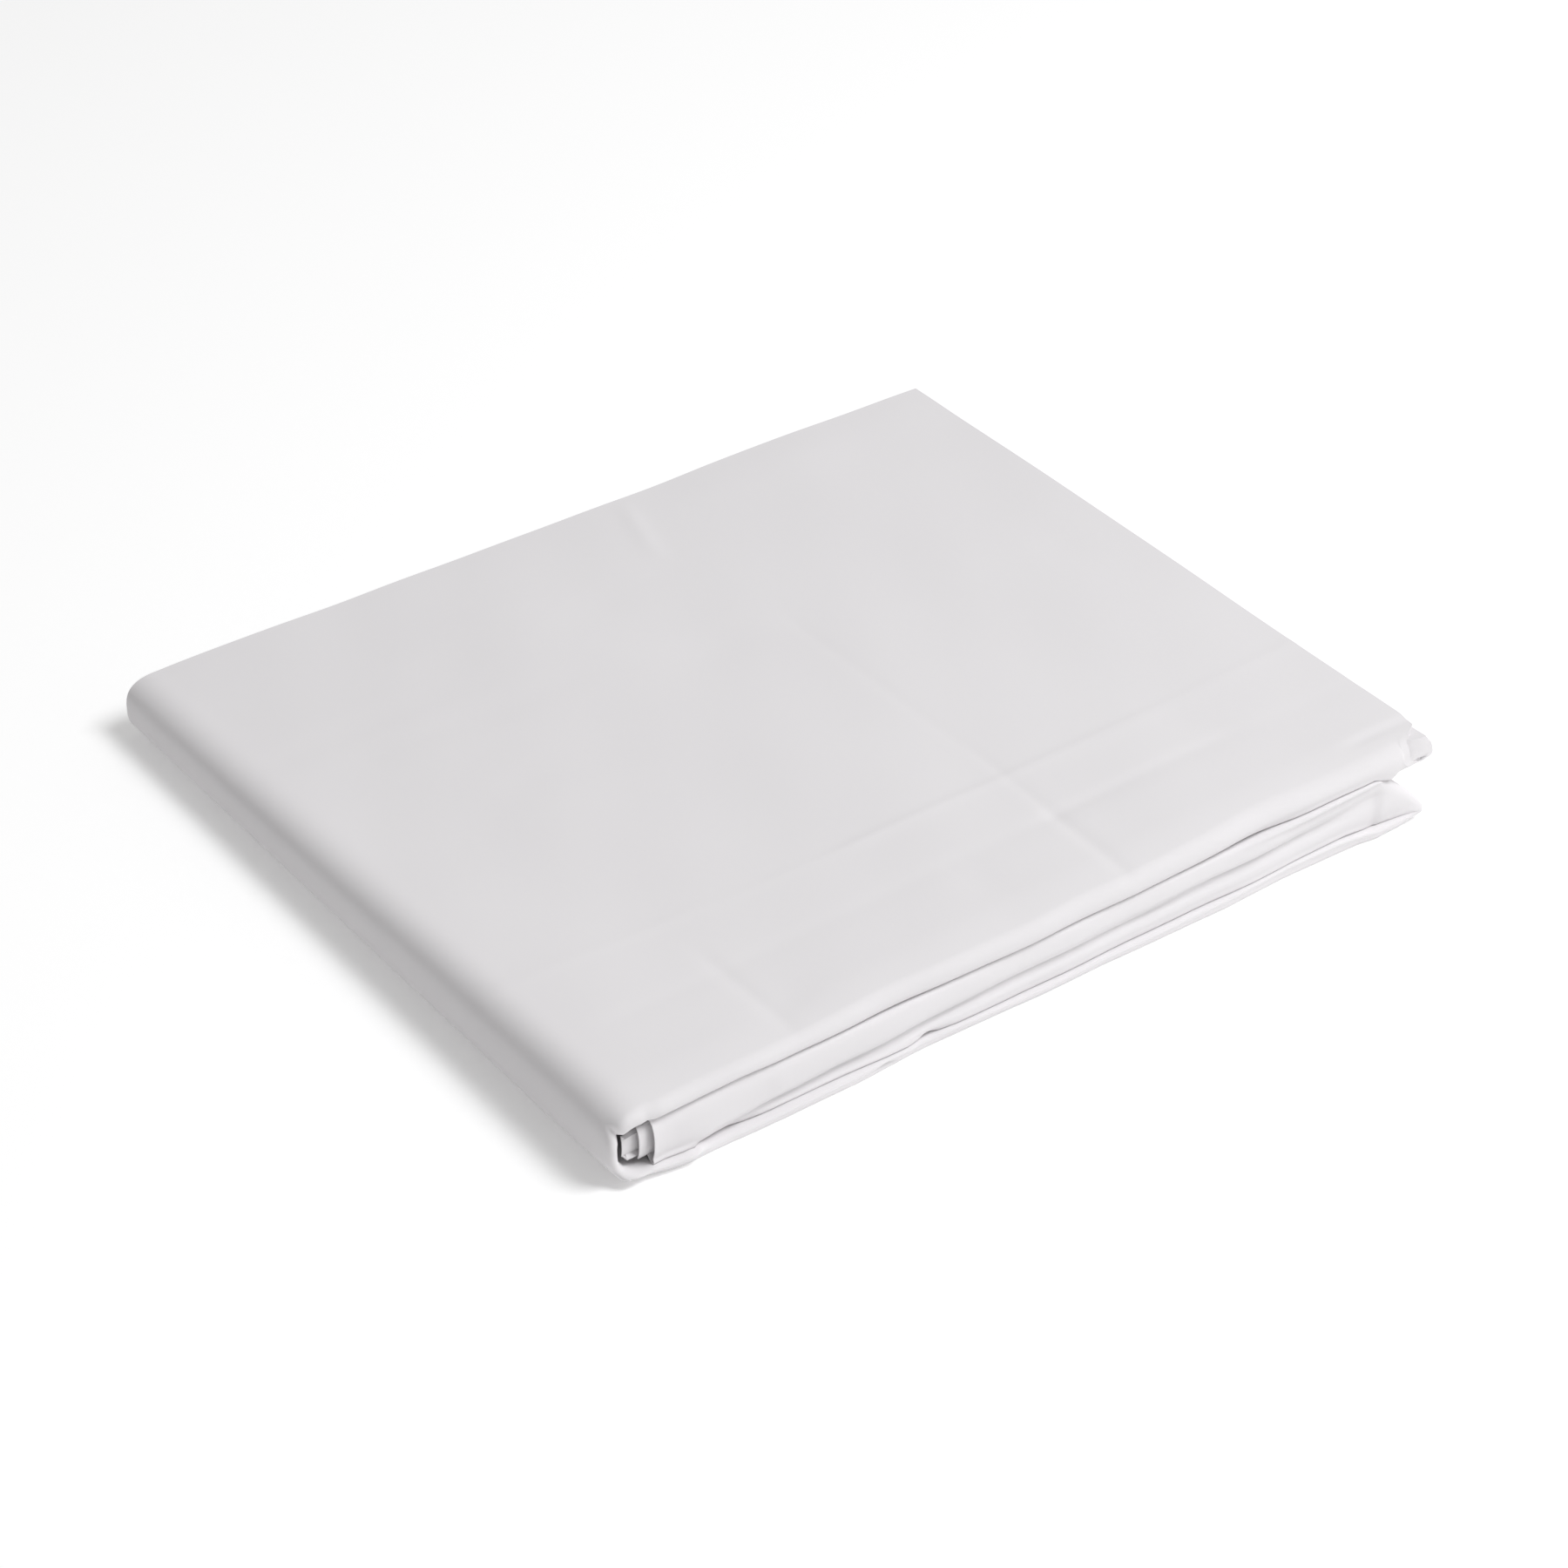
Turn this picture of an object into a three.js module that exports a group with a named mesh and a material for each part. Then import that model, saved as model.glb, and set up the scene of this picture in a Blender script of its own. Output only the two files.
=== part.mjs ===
// A duvet cover folded for the shelf, in millimetres with +Z up.
// The cloth is folded back and forth across its depth into a strip of four layers, so that the
// strip's front edge is two rolls. The strip is then turned in on itself like a letter: the top
// panel wraps down the left end into the bottom panel, which bends up at the right end into the
// middle panel, and the middle panel's free end lies inside the wrap. It is one piece of cloth.
import * as THREE from "three";

const { lerp, smoothstep } = THREE.MathUtils;

// Driving dimensions.
const length = 360; // front edge, from the wrap to the right end
const depthLeft = 325; // front edge to back edge at the left end
const depthRight = 306; // the same at the right end, where the fold runs in
const nearLeftHeight = 31;
const nearRightHeight = 37;
const farLeftHeight = 24;
const farRightHeight = 36;
const cloth = 1.6; // one layer of the fold
const slack = 0.3; // air on each side of a valley between two rolls

const stackLayers = 12; // four layers in each of three panels
const stripLayers = 4;

// Heights of the valleys between the rolls along the front edge: under the top panel, between the
// two rolls of the middle panel, and over the roll of the bottom panel.
const valleys = [
  { x: 15, underTop: 24.6, middle: 9.4, overBottom: 5.3 },
  { x: 60, underTop: 25.2, middle: 10.6, overBottom: 5.8 },
  { x: 110, underTop: 25.2, middle: 12.9, overBottom: 7.0 },
  { x: 165, underTop: 25.3, middle: 14.4, overBottom: 6.3 },
  { x: 240, underTop: 25.9, middle: 16.5, overBottom: 6.9 },
  { x: 300, underTop: 27.2, middle: 18.7, overBottom: 8.1 },
  { x: 345, underTop: 28.6, middle: 20.3, overBottom: 6.4 },
];

// How far behind the front edge each roll of the strip lies, and how deep its round nose may be.
// Places along the strip: 0 is the top panel's free end, 1 to 2 the wrap, 3 to 4 the bend at the
// right end, and 5 the middle panel's free end.
const rolls = [
  { at: 0, outer: 0, outerNose: 3.2, inner: 13.5, innerNose: 1.3 },
  { at: 0.94, outer: 0, outerNose: 3.2, inner: 13.5, innerNose: 1.3 },
  { at: 1.5, outer: 2.4, outerNose: 2.4, inner: 20, innerNose: 1.2 },
  { at: 2.0, outer: 1.6, outerNose: 2.4, inner: 26.5, innerNose: 1.2 },
  { at: 2.1, outer: 1.0, outerNose: 2.6, inner: 27, innerNose: 1.3 },
  { at: 2.92, outer: 1.0, outerNose: 2.6, inner: 27, innerNose: 1.3 },
  { at: 3.0, outer: 1.2, outerNose: 3.2, inner: 17, innerNose: 1.3 },
  { at: 3.4, outer: 1.6, outerNose: 4.0, inner: 15, innerNose: 1.6 },
  { at: 3.9, outer: 1.4, outerNose: 4.4, inner: 3, innerNose: 2.4 },
  { at: 4.1, outer: 0.6, outerNose: 4.4, inner: 1.6, innerNose: 2.4 },
  { at: 5, outer: 0.6, outerNose: 4.4, inner: 1.6, innerNose: 2.4 },
];

// The wrap at the left end.
const wrapStart = 15; // where the panels leave it
const wrapPitch = 2.0; // layer to layer through its wall
const wrapFrontPitch = 4.2; // the same in the roll on its front edge
const wrapSquareness = 2.8; // 2 is an ellipse, more is nearer to a box

// The closed bend at the right end, which sags towards its nose.
const bendReach = 22; // from the flat panels to its nose
const bendPitch = 6.7; // layer to layer at the nose
const bendNose = { outer: 0.36, inner: 0.5 }; // height of the nose as a share of the bend
const bendSquareness = 2.1;

const topOverhang = 2; // the top panel's free end passes the bend by this much

// Where layers leave the front edge's heights for their even places in the stack.
const spreadStart = 4;
const upperSpreadEnd = 12; // either side of the valley under the top panel
const lowerSpreadEnd = { left: 26, right: 13.5, from: 290, to: 338 };

// How finely the cloth is divided.
const runShares = [0, 0.012, 0.027, 0.045, 0.075, 0.2, 0.45, 0.72, 1];
const noseSteps = { outer: 6, inner: 4, back: 4 };
const panelSteps = 10;
const turnSteps = 8;

const backNose = 1.2; // depth of the roll along the back edge
const backSet = { outer: 0, roll: 2.2, inner: 3.4 }; // how far layers stop short of the back edge

// Each panel's outer layer, counted down from the top of the stack, and the way to its next one.
const panels = {
  top: { first: 0, step: 1 },
  middle: { first: 4, step: 1 },
  bottom: { first: 11, step: -1 },
};

function depthAt(x) {
  return lerp(depthLeft, depthRight, x / length);
}

function stackHeight(x, y) {
  const along = x / length;
  const near = lerp(nearLeftHeight, nearRightHeight, along);
  const far = lerp(farLeftHeight, farRightHeight, along);
  return lerp(near, far, y / depthAt(x));
}

// A column of a table, joined smoothly from row to row. The key column orders the rows.
function fromTable(table, key, value, column) {
  const last = table.length - 1;
  const place = Math.min(Math.max(value, table[0][key]), table[last][key]);
  const next = Math.max(1, table.findIndex((row) => row[key] >= place));
  const before = table[next - 1];
  const after = table[next];
  return lerp(before[column], after[column], smoothstep(place, before[key], after[key]));
}

function valley(column, x) {
  return fromTable(valleys, "x", x, column);
}

// A layer's even place in the stack. Layers are counted from 1 at the strip's outer side.
function evenHeight(panel, layer, x, y) {
  const { first, step } = panels[panel];
  const stack = stackHeight(x, y);
  const pitch = (stack - cloth) / (stackLayers - 1);
  return stack - cloth / 2 - (first + step * (layer - 1)) * pitch;
}

// A layer's height at the front edge, where the rolls crowd it. Layers that stay behind have none.
function frontHeight(panel, layer, x) {
  const room = cloth / 2 + slack;
  const rows = {
    top: [stackHeight(x, 0) - cloth / 2, valley("underTop", x) + room],
    middle: [
      valley("underTop", x) - room,
      valley("middle", x) + room,
      valley("middle", x) - room,
      valley("overBottom", x) + room,
    ],
    bottom: [cloth / 2, valley("overBottom", x) - room],
  };
  return rows[panel][layer - 1];
}

function layerHeight(panel, layer, x, y) {
  const even = evenHeight(panel, layer, x, y);
  const front = frontHeight(panel, layer, x);
  if (front === undefined) return even;
  const underTop = (panel === "top" && layer === 2) || (panel === "middle" && layer === 1);
  const { left, right, from, to } = lowerSpreadEnd;
  const end = underTop ? upperSpreadEnd : lerp(left, right, smoothstep(x, from, to));
  return lerp(front, even, smoothstep(y, spreadStart, end));
}

// Height at a place between two layers, which only the round noses of the rolls use.
function heightBetween(panel, layer, x, y) {
  const outer = Math.min(Math.floor(layer), stripLayers - 1);
  return lerp(
    layerHeight(panel, outer, x, y),
    layerHeight(panel, outer + 1, x, y),
    layer - outer,
  );
}

function rounded(value, squareness) {
  return Math.sign(value) * Math.abs(value) ** (2 / squareness);
}

function onPanel(panel, x, layer, y) {
  return new THREE.Vector3(x, y, heightBetween(panel, layer, x, y));
}

// A turn runs from share 0 on the panel above to share 1 on the panel below it.
function onTurn({ above, start, way, reach, squareness, nose }, share, layer, y) {
  const high = heightBetween(above, layer, start, y);
  const low = heightBetween("bottom", layer, start, y);
  const angle = (0.5 - share) * Math.PI;
  const middle = lerp(low, high, nose(layer));
  const rise = rounded(Math.sin(angle), squareness);
  const out = rounded(Math.cos(angle), squareness);
  const z = rise > 0 ? lerp(middle, high, rise) : lerp(middle, low, -rise);
  return new THREE.Vector3(start + way * reach(layer, y) * out, y, z);
}

const wrap = {
  above: "top",
  start: wrapStart,
  way: -1,
  squareness: wrapSquareness,
  nose: () => 0.5,
  reach(layer, y) {
    const pitch = lerp(wrapFrontPitch, wrapPitch, smoothstep(y, spreadStart, upperSpreadEnd));
    return wrapStart - cloth / 2 - pitch * (layer - 1);
  },
};

const bendStart = length - cloth / 2 - bendReach;
const bend = {
  above: "middle",
  start: bendStart,
  way: 1,
  squareness: bendSquareness,
  nose: (layer) => lerp(bendNose.outer, bendNose.inner, (layer - 1) / (stripLayers - 1)),
  reach(layer) {
    return bendReach - bendPitch * (layer - 1);
  },
};

// Stations along the strip, each with its place in the table of rolls and the function that
// turns a place in the section into a point. A panel's stations stand closer at its two ends.
function panelStations(panel, from, to, first) {
  return Array.from({ length: panelSteps + 1 }, (_, i) => {
    const share = (1 - Math.cos((Math.PI * i) / panelSteps)) / 2;
    const x = lerp(from, to, share);
    return { x, at: first + share, place: (layer, y) => onPanel(panel, x, layer, y) };
  });
}

function turnStations(turn, first) {
  return Array.from({ length: turnSteps - 1 }, (_, i) => {
    const share = (i + 1) / turnSteps;
    const down = turn.above === "top" ? share : 1 - share;
    return { x: turn.start, at: first + share, place: (layer, y) => onTurn(turn, down, layer, y) };
  });
}

const strip = [
  ...panelStations("top", length + topOverhang, wrapStart, 0),
  ...turnStations(wrap, 1),
  ...panelStations("bottom", wrapStart, bendStart, 2),
  ...turnStations(bend, 3),
  ...panelStations("middle", bendStart, wrapStart, 4),
];

// A roll's round nose is no deeper than half its height, so that a low roll has no sharp point.
function noseDepth({ place }, layer, front, most) {
  return Math.min(most, place(layer, front).distanceTo(place(layer + 1, front)) / 2);
}

// The back-and-forth section at a station: a run of cloth for each layer and a round nose between
// one layer and the next, as places (layer, y) that the station turns into points.
function section(station) {
  const back = depthAt(station.x);
  const roll = (column) => fromTable(rolls, "at", station.at, column);
  const outerNose = noseDepth(station, 1, roll("outer"), roll("outerNose"));
  const innerNose = noseDepth(station, 3, roll("inner"), roll("innerNose"));
  const fronts = [roll("outer") + outerNose, roll("inner") + innerNose];
  const backs = [backSet.outer, backSet.roll + backNose, backSet.roll + backNose, backSet.inner];
  const places = [];
  const run = (layer, outward) => {
    const front = fronts[layer <= 2 ? 0 : 1] + cloth / 2;
    const shares = outward ? runShares : [...runShares].reverse();
    shares.forEach((share) => places.push([layer, lerp(front, back - backs[layer - 1], share)]));
  };
  const nose = (layer, y, depth, steps) => {
    for (let i = 1; i < steps; i++) {
      const angle = (Math.PI * i) / steps;
      places.push([layer + (1 - Math.cos(angle)) / 2, y + depth * Math.sin(angle)]);
    }
  };
  run(1, false);
  nose(1, fronts[0] + cloth / 2, -outerNose, noseSteps.outer);
  run(2, true);
  nose(2, back - backSet.roll - backNose, backNose, noseSteps.back);
  run(3, false);
  nose(3, fronts[1] + cloth / 2, -innerNose, noseSteps.inner);
  run(4, true);
  return places;
}

// The middle surface of the cloth: a row of points for each station.
const rows = strip.map((station) => section(station).map(([layer, y]) => station.place(layer, y)));

function across(list, index) {
  const before = list[Math.max(index - 1, 0)];
  const after = list[Math.min(index + 1, list.length - 1)];
  return after.clone().sub(before);
}

// The cloth's outer side at a point of the middle surface, square to its two directions.
function outward(row, column) {
  const alongSection = across(rows[row], column);
  const alongStrip = across(rows.map((points) => points[column]), row);
  return alongSection.cross(alongStrip).normalize();
}

// The middle surface thickened to both sides and closed round its four edges.
function clothGeometry() {
  const width = rows[0].length;
  const sheet = rows.length * width;
  const positions = new Float32Array(2 * sheet * 3);
  rows.forEach((points, row) =>
    points.forEach((point, column) => {
      const index = row * width + column;
      const side = outward(row, column).multiplyScalar(cloth / 2);
      point.clone().add(side).toArray(positions, index * 3);
      point.clone().sub(side).toArray(positions, (sheet + index) * 3);
    }),
  );
  const faces = [];
  const quad = (a, b, c, d) => faces.push(a, b, c, a, c, d);
  for (let row = 0; row + 1 < rows.length; row++) {
    for (let column = 0; column + 1 < width; column++) {
      const a = row * width + column;
      quad(a, a + 1, a + width + 1, a + width);
      quad(sheet + a, sheet + a + width, sheet + a + width + 1, sheet + a + 1);
    }
  }
  const rim = [];
  for (let column = 0; column < width; column++) rim.push(column);
  for (let row = 1; row < rows.length; row++) rim.push(row * width + width - 1);
  for (let column = width - 2; column >= 0; column--) rim.push((rows.length - 1) * width + column);
  for (let row = rows.length - 2; row > 0; row--) rim.push(row * width);
  rim.forEach((from, i) => {
    const to = rim[(i + 1) % rim.length];
    quad(from, sheet + from, sheet + to, to);
  });
  const geometry = new THREE.BufferGeometry();
  geometry.setAttribute("position", new THREE.BufferAttribute(positions, 3));
  geometry.setIndex(faces);
  geometry.computeVertexNormals();
  return geometry;
}

// The origin is under the middle of the folded cover, on the surface that it rests on.
function centred(geometry) {
  geometry.computeBoundingBox();
  const { min, max } = geometry.boundingBox;
  return geometry.translate(-(min.x + max.x) / 2, -(min.y + max.y) / 2, -min.z);
}

const whiteCotton = new THREE.MeshStandardMaterial({
  color: 0xe4e2e2,
  roughness: 0.85,
  metalness: 0,
});

const duvetCover = new THREE.Mesh(centred(clothGeometry()), whiteCotton);
duvetCover.name = "duvet_cover";

const group = new THREE.Group();
group.add(duvetCover);

export default group;
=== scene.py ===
# A duvet cover folded for the shelf: one thin white cotton cloth, laid along the folds of the
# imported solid. Lengths in the dictionaries are millimetres: x along the front edge from the
# wrapped end, y from the front of the upper rolls towards the back, z up from the floor.
import bpy
import math
import numpy as np
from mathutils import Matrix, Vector


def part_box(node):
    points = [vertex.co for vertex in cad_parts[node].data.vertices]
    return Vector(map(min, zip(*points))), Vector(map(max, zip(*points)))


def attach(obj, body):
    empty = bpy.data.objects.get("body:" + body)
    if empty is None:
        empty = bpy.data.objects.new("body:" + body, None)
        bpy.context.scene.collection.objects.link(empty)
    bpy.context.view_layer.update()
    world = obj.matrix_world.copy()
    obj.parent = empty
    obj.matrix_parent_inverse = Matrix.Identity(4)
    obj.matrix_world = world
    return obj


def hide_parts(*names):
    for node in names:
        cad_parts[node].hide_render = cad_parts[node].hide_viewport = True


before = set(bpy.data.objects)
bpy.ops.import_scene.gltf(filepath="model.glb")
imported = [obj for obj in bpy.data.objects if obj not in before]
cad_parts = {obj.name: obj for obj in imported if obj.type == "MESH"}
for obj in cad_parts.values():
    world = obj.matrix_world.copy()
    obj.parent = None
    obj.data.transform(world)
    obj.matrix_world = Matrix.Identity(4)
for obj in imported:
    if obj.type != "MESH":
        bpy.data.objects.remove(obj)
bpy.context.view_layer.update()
bpy.ops.object.select_all(action="DESELECT")

mm = 0.001
coverName = "duvet_cover"
lowCorner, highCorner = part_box(coverName)
print("frame loaded, cover box", [round(v / mm, 1) for v in highCorner - lowCorner])

# The bundle: its outline, and the four-layer strip that is turned in on itself like a letter.
bundle = {
    "length": 360,
    "depthLeft": 325,
    "depthRight": 306,
    "nearLeftHeight": 31,
    "nearRightHeight": 37,
    "farLeftHeight": 23.3,
    "farRightHeight": 36,
    "layer": 1.6,          # one layer of the fold, three cloths thick
    "slack": 0.1,          # air on each side of the valley under the top
    "slackCloses": (265, 295),  # along x, where that air closes towards the bend
    "layers": 12,          # in three panels
    "panelLayers": 4,
    "topOverhang": 0.4,    # the top panel's free end passes the bend
    "lowestForward": 1.6,  # the lowest roll stands in front of the upper ones
    "spreadStart": 4,      # behind this the front rolls settle into the even stack
    "spreadEnd": 12,
    "frontFall": 1.6,      # the top falls off towards its front roll
    "frontFallStart": -2,
    "frontFallDepth": 17,
    "frontFallCurve": 0.7,  # below 1, most of the fall is close to the front
}

origin = Vector((lowCorner.x, lowCorner.y + bundle["lowestForward"] * mm, lowCorner.z))

# Heights of the two open valleys between the front rolls, as uneven as they lie.
valleys = [
    {"x": 15, "underTop": 22.9, "overBottom": 4.6},
    {"x": 32, "underTop": 22.7, "overBottom": 4.8},
    {"x": 37, "underTop": 23.0, "overBottom": 3.5},
    {"x": 53, "underTop": 23.8, "overBottom": 3.5},
    {"x": 70, "underTop": 23.0, "overBottom": 4.2},
    {"x": 100, "underTop": 22.6, "overBottom": 4.7},
    {"x": 130, "underTop": 22.9, "overBottom": 4.4},
    {"x": 170, "underTop": 22.8, "overBottom": 3.6},
    {"x": 220, "underTop": 23.4, "overBottom": 4.5},
    {"x": 260, "underTop": 23.8, "overBottom": 5.2},
    {"x": 300, "underTop": 24.6, "overBottom": 6.0},
    {"x": 320, "underTop": 25.0, "overBottom": 6.2},
    {"x": 338, "underTop": 25.2, "overBottom": 4.2},
    {"x": 347, "underTop": 24.6, "overBottom": 4.2},
    {"x": 355, "underTop": 21.9, "overBottom": 4.2},
]

# How far each valley is filled by the cloth swelling forward: where it is, its line is soft.
fillings = [
    {"x": 12, "underTop": 0.2, "overBottom": 3.0},
    {"x": 31, "underTop": 0.2, "overBottom": 3.0},
    {"x": 37, "underTop": 0.2, "overBottom": 0.0},
    {"x": 50, "underTop": 0.2, "overBottom": 0.0},
    {"x": 66, "underTop": 0.4, "overBottom": 1.5},
    {"x": 270, "underTop": 0.6, "overBottom": 1.6},
    {"x": 300, "underTop": 3.2, "overBottom": 1.7},
    {"x": 332, "underTop": 3.0, "overBottom": 1.8},
    {"x": 350, "underTop": 0.0, "overBottom": 1.6},
]
fillingWidths = {"underTop": 1.6, "overBottom": 1.5}
fillingFades = (5.5, 11)     # depths between which the swelling dies out

# The soft furrow that parts the middle panel's front in two rolls, and fades at both ends.
furrow = [
    {"x": 34, "z": 6.0, "depth": 0, "width": 1.6},
    {"x": 48, "z": 6.4, "depth": 1.2, "width": 1.6},
    {"x": 70, "z": 7.6, "depth": 2.3, "width": 2.0},
    {"x": 100, "z": 9.0, "depth": 2.9, "width": 2.2},
    {"x": 130, "z": 10.4, "depth": 2.9, "width": 2.3},
    {"x": 180, "z": 11.2, "depth": 2.9, "width": 2.3},
    {"x": 220, "z": 12.4, "depth": 2.9, "width": 2.4},
    {"x": 270, "z": 14.2, "depth": 2.9, "width": 2.4},
    {"x": 310, "z": 15.8, "depth": 2.4, "width": 2.5},
    {"x": 332, "z": 17.4, "depth": 1.4, "width": 2.6},
    {"x": 347, "z": 18.0, "depth": 0, "width": 2.0},
]
furrowFades = (7, 11)

# How far behind the front edge each roll lies, how deep its nose is, and how square: 2 is round.
# Outer rolls show at the front, and inner ones lie behind them. Places along the strip: 0 is the
# top panel's free end, 1 to 2 the wrap, 3 to 4 the bend, 5 the middle panel's free end.
rolls = [
    {"at": 0, "outer": -0.8, "outerNose": 5.4, "square": 2.0, "inner": 13.5, "innerNose": 1.3},
    {"at": 0.2, "outer": -0.8, "outerNose": 5.4, "square": 2.0, "inner": 13.5, "innerNose": 1.3},
    {"at": 0.36, "outer": -0.8, "outerNose": 3.6, "square": 2.2, "inner": 13.5, "innerNose": 1.3},
    {"at": 0.94, "outer": -0.8, "outerNose": 3.2, "square": 2.2, "inner": 13.5, "innerNose": 1.3},
    {"at": 1.22, "outer": 0.0, "outerNose": 2.4, "square": 2.2, "inner": 16, "innerNose": 1.2},
    {"at": 1.32, "outer": 3.2, "outerNose": 2.4, "square": 2.2, "inner": 18, "innerNose": 1.2},
    {"at": 1.42, "outer": 1.0, "outerNose": 2.4, "square": 2.2, "inner": 19, "innerNose": 1.2},
    {"at": 1.7, "outer": 1.2, "outerNose": 2.4, "square": 2.4, "inner": 22, "innerNose": 1.2},
    {"at": 2.0, "outer": 0.0, "outerNose": 2.4, "square": 3.0, "inner": 26.5, "innerNose": 1.2},
    {"at": 2.035, "outer": -2.2, "outerNose": 2.4, "square": 3.4, "inner": 27, "innerNose": 1.3},
    {"at": 2.14, "outer": -2.3, "outerNose": 2.4, "square": 3.4, "inner": 27, "innerNose": 1.3},
    {"at": 2.24, "outer": -2.2, "outerNose": 2.4, "square": 3.4, "inner": 27, "innerNose": 1.3},
    {"at": 2.36, "outer": -1.6, "outerNose": 2.2, "square": 3.4, "inner": 27, "innerNose": 1.3},
    {"at": 2.86, "outer": -1.6, "outerNose": 2.2, "square": 3.4, "inner": 27, "innerNose": 1.3},
    {"at": 2.98, "outer": -2.2, "outerNose": 2.2, "square": 3.4, "inner": 27, "innerNose": 1.3},
    {"at": 3.1, "outer": -2.4, "outerNose": 2.6, "square": 3.0, "inner": 19, "innerNose": 1.3},
    {"at": 3.4, "outer": -1.6, "outerNose": 2.8, "square": 2.6, "inner": 16, "innerNose": 1.6},
    {"at": 3.8, "outer": -1.0, "outerNose": 3.0, "square": 2.6, "inner": 15, "innerNose": 1.6},
    {"at": 4.01, "outer": -1.2, "outerNose": 3.2, "square": 2.8, "inner": 14.5, "innerNose": 1.6},
    {"at": 4.92, "outer": -1.2, "outerNose": 3.2, "square": 2.9, "inner": 14.5, "innerNose": 1.6},
    {"at": 5, "outer": -0.8, "outerNose": 4.2, "square": 2.4, "inner": 14.5, "innerNose": 1.6},
]

# The wrap at the left end. Pitch is the distance from layer to layer.
wrap = {
    "start": 15,
    "pitch": 2.0,
    "frontPitch": 2.5,
    "squareness": 2.9,
    "cornerLift": 2.6,      # the lower corner at the front stands off the surface
    "cornerLiftX": 24,
    "cornerLiftY": 45,
}

# The bend at the right end.
bend = {
    "reach": 22.2,
    "pitch": 6.7,
    "outerNose": 0.16,      # its nose hangs at this share of its height, so its upper side slopes
    "innerNose": 0.31,
    "frontTips": (5.3, 4.0),  # heights of the noses of its two outer layers, at the front
    "frontTipLayers": (2, 2.5),  # layers further in keep to the even stack
    "upperSquareness": 1.2,
    "lowerSquareness": 2.5,
    "frontPitch": 2.8,
}
bendStart = bundle["length"] - bundle["layer"] / 2 - bend["reach"]

# The cloth itself. Each layer of the fold is three cloths, which turn back into one another
# along the strip's two free edges, so all of it is one piece.
cloth = {
    "thick": 0.45,
    "pitch": 0.55,
    "frontPitch": 1.25,     # the cloths stand further apart in the round of a roll
    "frontPitchDepth": 9,
    "noseRoom": 0.7,        # what the cloths leave free in the middle of a roll
    "deepestNose": 1.8,     # a nose is never deeper than this many times its half height
    "turnSteps": 4,
    "smoothAngle": 62,
    "weaveColumn": 10,      # the point of each section that lengths along the strip are taken at
}

# The top panel's free end is open at the front: its upper side and nose are drawn back, each
# cloth by its own amount, and its lower side curls up into a cup and stands out a little.
mouth = {
    "drawnBack": (9.0, 8.2, 7.4),
    "upperLayers": (1.55, 1.95),  # between these its upper side passes into its lower side
    "reach": 0.045,         # how far along the strip it is open, as a share of a panel
    "fadeStart": 2,
    "depth": 9,
    "curlX": (347, 354),
    "curlStart": 0.0,
    "curlEnd": 6.0,
    "standsOut": (3.4, 1.8, 0.0),
    "lip": 0.8,             # how much of its lower side's roundness is pressed out to the front
    "lipLayers": (1.5, 1.65),
    "lipPlane": -0.4,       # the depth that it is pressed out to
    "lipStart": 4,
    "lipEnd": 11,
}

# The middle panel's free end is stepped: inner cloths stand out further towards the wrap.
steppedEnd = {
    "x": 16.4,
    "further": (0, 4.2, 9.2),
    "from": 4.93,           # places along the strip
    "to": 5,
    "depth": 12,
    "apart": 2.4,           # from cloth to cloth there
}

# How far in front of the back edge the layers end, and how deep the rolls there are.
backEdge = {"outer": 0, "roll": 2.2, "inner": 3.4, "nose": 1.2}

# Creases on the top, each from one place to another. Lift is a ridge, or a trough if negative.
creases = [
    {"from": (95, 75.5), "to": (165, 73), "width": 2.2, "lift": 0.12},
    {"from": (150, 73.4), "to": (290, 71.0), "width": 2.4, "lift": 0.34},
    {"from": (285, 71.5), "to": (362, 73.5), "width": 2.4, "lift": 0.18},
    {"from": (12, 80.5), "to": (92, 77), "width": 2.6, "lift": 0.16},
    {"from": (28, 43), "to": (225, 43), "width": 4.2, "lift": -0.20},
    {"from": (215, 43.5), "to": (300, 43), "width": 3.6, "lift": -0.42},
    {"from": (295, 41), "to": (362, 40), "width": 4.0, "lift": -0.16},
    {"from": (287, 70), "to": (318, 22), "width": 5.0, "lift": -0.22},
    {"from": (222, 92), "to": (220.5, 40), "width": 2.6, "lift": -0.18},
    {"from": (220.5, 48), "to": (219.5, 0), "width": 3.4, "lift": -0.36},
    {"from": (220, 205), "to": (221, 95), "width": 3.0, "lift": -0.10},
    {"from": (216, 306), "to": (206, 272), "width": 3.6, "lift": 0.36},
    {"from": (75, 55), "to": (76, 2), "width": 3.4, "lift": -0.30},
    {"from": (15, 245), "to": (92, 242), "width": 4.4, "lift": -0.30},
    {"from": (42, 227), "to": (132, 220), "width": 4.6, "lift": -0.26},
    {"from": (334, 12.4), "to": (364, 11.2), "width": 2.2, "lift": -0.85},
]
creaseEnds = {"length": 9, "mostShare": 0.2}   # how a crease fades at each end

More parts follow.
